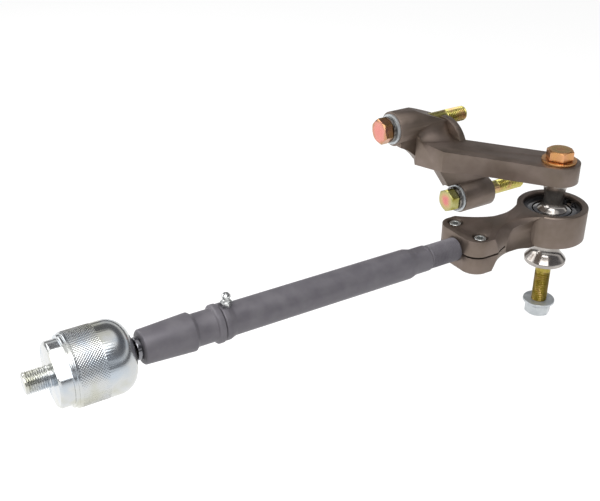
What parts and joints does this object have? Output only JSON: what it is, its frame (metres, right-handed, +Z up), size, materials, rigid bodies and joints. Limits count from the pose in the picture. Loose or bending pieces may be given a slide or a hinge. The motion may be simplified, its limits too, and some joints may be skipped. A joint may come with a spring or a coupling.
{
  "type": "steering tie rod",
  "caption": "Steering tie rod with a ball-joint rack end, a greased adjuster tube, a split clamp rod end on a spherical bearing and a double shear brace arm with its bolts.",
  "frame": {"origin": "on the rod's axis at the shoulder of the rack stud, where the wrench collar seats on the rack", "axes": "+X along the rod from the rack end to the bearing, +Z up along the pivot bolt towards its head, +Y from the bearing towards the knuckle bolts"},
  "size_m": [0.5513, 0.165, 0.178],
  "materials": {
    "zinc_steel": "bright zinc plated steel, satin",
    "forged_steel": "polished dark alloy steel",
    "seat_polymer": "moulded seat polymer",
    "liner_fabric": "woven slippery liner",
    "coated_steel": "hard grey coating on steel, matte",
    "seal_rubber": "nitrile rubber",
    "bronze": "machined bronze",
    "spring_steel": "oiled spring steel",
    "yellow_zinc": "yellow zinc plated steel",
    "billet": "bronze-grey anodised aluminium",
    "bearing_steel": "ground bearing steel",
    "stainless": "polished stainless steel",
    "bright_zinc": "bright zinc plated steel"
  },
  "bodies": {
    "rack_end": {"rack_housing": "zinc_steel", "preload_disc": "spring_steel"},
    "seat": {"ball_seat": "seat_polymer"},
    "seat_lining": {"seat_liner": "liner_fabric"},
    "stud": {"ball_stud": "forged_steel", "boot_adapter": "coated_steel", "swivel_clip": "spring_steel", "swivel_seal": "seal_rubber"},
    "tube": {"rod_tube": "coated_steel", "swivel_bush": "bronze", "grease_fitting": "bright_zinc", "grease_ball": "bearing_steel"},
    "rod_end": {"clamp_end": "billet", "pinch_screw_front": "bright_zinc", "pinch_screw_rear": "bright_zinc", "bearing_race": "bearing_steel", "retaining_ring_upper": "spring_steel", "retaining_ring_lower": "spring_steel"},
    "bearing_lining": {"bearing_liner": "liner_fabric"},
    "ball": {"bearing_ball": "bearing_steel"},
    "knuckle_side": {"upper_spacer": "stainless", "lower_spacer": "stainless", "brace_arm": "billet", "pivot_bolt": "yellow_zinc", "pivot_washer": "yellow_zinc", "flange_nut": "bright_zinc", "knuckle_bolt_upper": "yellow_zinc", "knuckle_bolt_lower": "yellow_zinc", "knuckle_washers": "bright_zinc", "knuckle_lock_washers": "spring_steel"}
  },
  "joints": [
    {"name": "inner_tilt_vertical", "type": "hinge", "parent": "rack_end", "child": "seat", "pos_m": [0.037, 0, 0], "axis": [0, 1, 0], "range_deg": [-12, 12]},
    {"name": "inner_tilt_fore_aft", "type": "hinge", "parent": "seat", "child": "seat_lining", "pos_m": [0.037, 0, 0], "axis": [0, 0, 1], "range_deg": [-12, 12]},
    {"name": "rod_roll", "type": "hinge", "parent": "seat_lining", "child": "stud", "pos_m": [0.037, 0, 0], "axis": [1, 0, 0], "range_deg": [-30, 30]},
    {"name": "tube_turn", "type": "hinge", "parent": "stud", "child": "tube", "pos_m": [0.13, 0, 0], "axis": [1, 0, 0], "range_deg": [-2881, 1801]},
    {"name": "length_adjust", "type": "slide", "parent": "stud", "child": "rod_end", "axis": [1, 0, 0], "range_m": [-0.012, 0.0075]},
    {"name": "bearing_roll", "type": "hinge", "parent": "rod_end", "child": "bearing_lining", "pos_m": [0.456, 0, 0], "axis": [1, 0, 0], "range_deg": [-10, 10]},
    {"name": "bearing_tilt", "type": "hinge", "parent": "bearing_lining", "child": "ball", "pos_m": [0.456, 0, 0], "axis": [0, 1, 0], "range_deg": [-10, 10]},
    {"name": "steer_swing", "type": "hinge", "parent": "ball", "child": "knuckle_side", "pos_m": [0.456, 0, 0], "axis": [0, 0, 1], "range_deg": [-30, 30]}
  ],
  "couplings": [
    {"joint": "tube_turn", "follows": "length_adjust", "rad_per_m": 4188.8}
  ]
}
